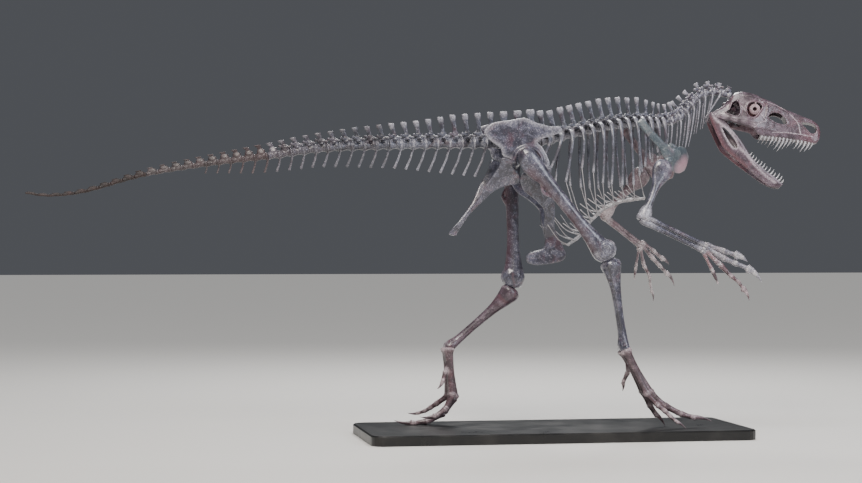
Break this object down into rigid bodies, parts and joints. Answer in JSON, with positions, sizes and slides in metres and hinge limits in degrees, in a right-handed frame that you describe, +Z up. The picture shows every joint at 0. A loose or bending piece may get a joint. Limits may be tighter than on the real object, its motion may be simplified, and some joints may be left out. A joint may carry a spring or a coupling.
{
  "type": "mounted dinosaur skeleton",
  "caption": "Life-size mounted skeleton of a small bipedal meat-eating dinosaur, striding with open jaws and long raised tail, on a flat black base.",
  "frame": {"origin": "middle of the underside of the base plate", "axes": "+X towards the head, +Y to the animal's left, +Z up"},
  "size_m": [2.3872, 0.5583, 1.0826],
  "materials": {
    "slate_bone": "stained bone, semi-gloss varnish",
    "pale_bone": "pale bone, semi-gloss varnish",
    "rose_bone": "reddish bone, semi-gloss varnish",
    "skull_bone": "mauve bone with pale sutures, semi-gloss varnish",
    "green_bone": "greenish grey bone, semi-gloss varnish",
    "ring_bone": "pinkish white bone, semi-gloss varnish",
    "dark_bone": "dark reddish brown bone, semi-gloss varnish",
    "base_black": "board with black satin lacquer"
  },
  "bodies": {
    "root": {"eye_ring_left": "ring_bone", "eye_ring_right": "ring_bone", "femur_left": "slate_bone", "femur_right": "slate_bone", "fibula_left": "slate_bone", "fibula_right": "slate_bone", "finger_1_left": "pale_bone", "finger_1_right": "pale_bone", "finger_2_left": "pale_bone", "finger_2_right": "pale_bone", "finger_3_left": "rose_bone", "finger_3_right": "rose_bone", "finger_4_left": "rose_bone", "finger_4_right": "rose_bone", "gastralia": "slate_bone", "humerus_left": "slate_bone", "humerus_right": "slate_bone", "ilium_left": "slate_bone", "ilium_right": "slate_bone", "ischium_left": "slate_bone", "ischium_right": "slate_bone", "lower_jaw": "skull_bone", "metatarsus_left": "rose_bone", "metatarsus_right": "rose_bone", "neck_front": "slate_bone", "neck_rear": "slate_bone", "palm_left": "pale_bone", "palm_right": "pale_bone", "pubis_left": "slate_bone", "pubis_right": "slate_bone", "radius_left": "slate_bone", "radius_right": "slate_bone", "sacrum": "slate_bone", "scapula_coracoid_left": "green_bone", "scapula_coracoid_right": "green_bone", "skull": "skull_bone", "stand_base": "base_black", "tail_base": "slate_bone", "tail_middle": "slate_bone", "tail_rear": "slate_bone", "tail_tip": "dark_bone", "tibia_left": "slate_bone", "tibia_right": "slate_bone", "toe_1_left": "rose_bone", "toe_1_right": "rose_bone", "toe_2_left": "rose_bone", "toe_2_right": "rose_bone", "toe_3_left": "rose_bone", "toe_3_right": "rose_bone", "toe_4_left": "rose_bone", "toe_4_right": "rose_bone", "trunk_left": "slate_bone", "trunk_right": "slate_bone", "ulna_left": "slate_bone", "ulna_right": "slate_bone"}
  },
  "joints": []
}
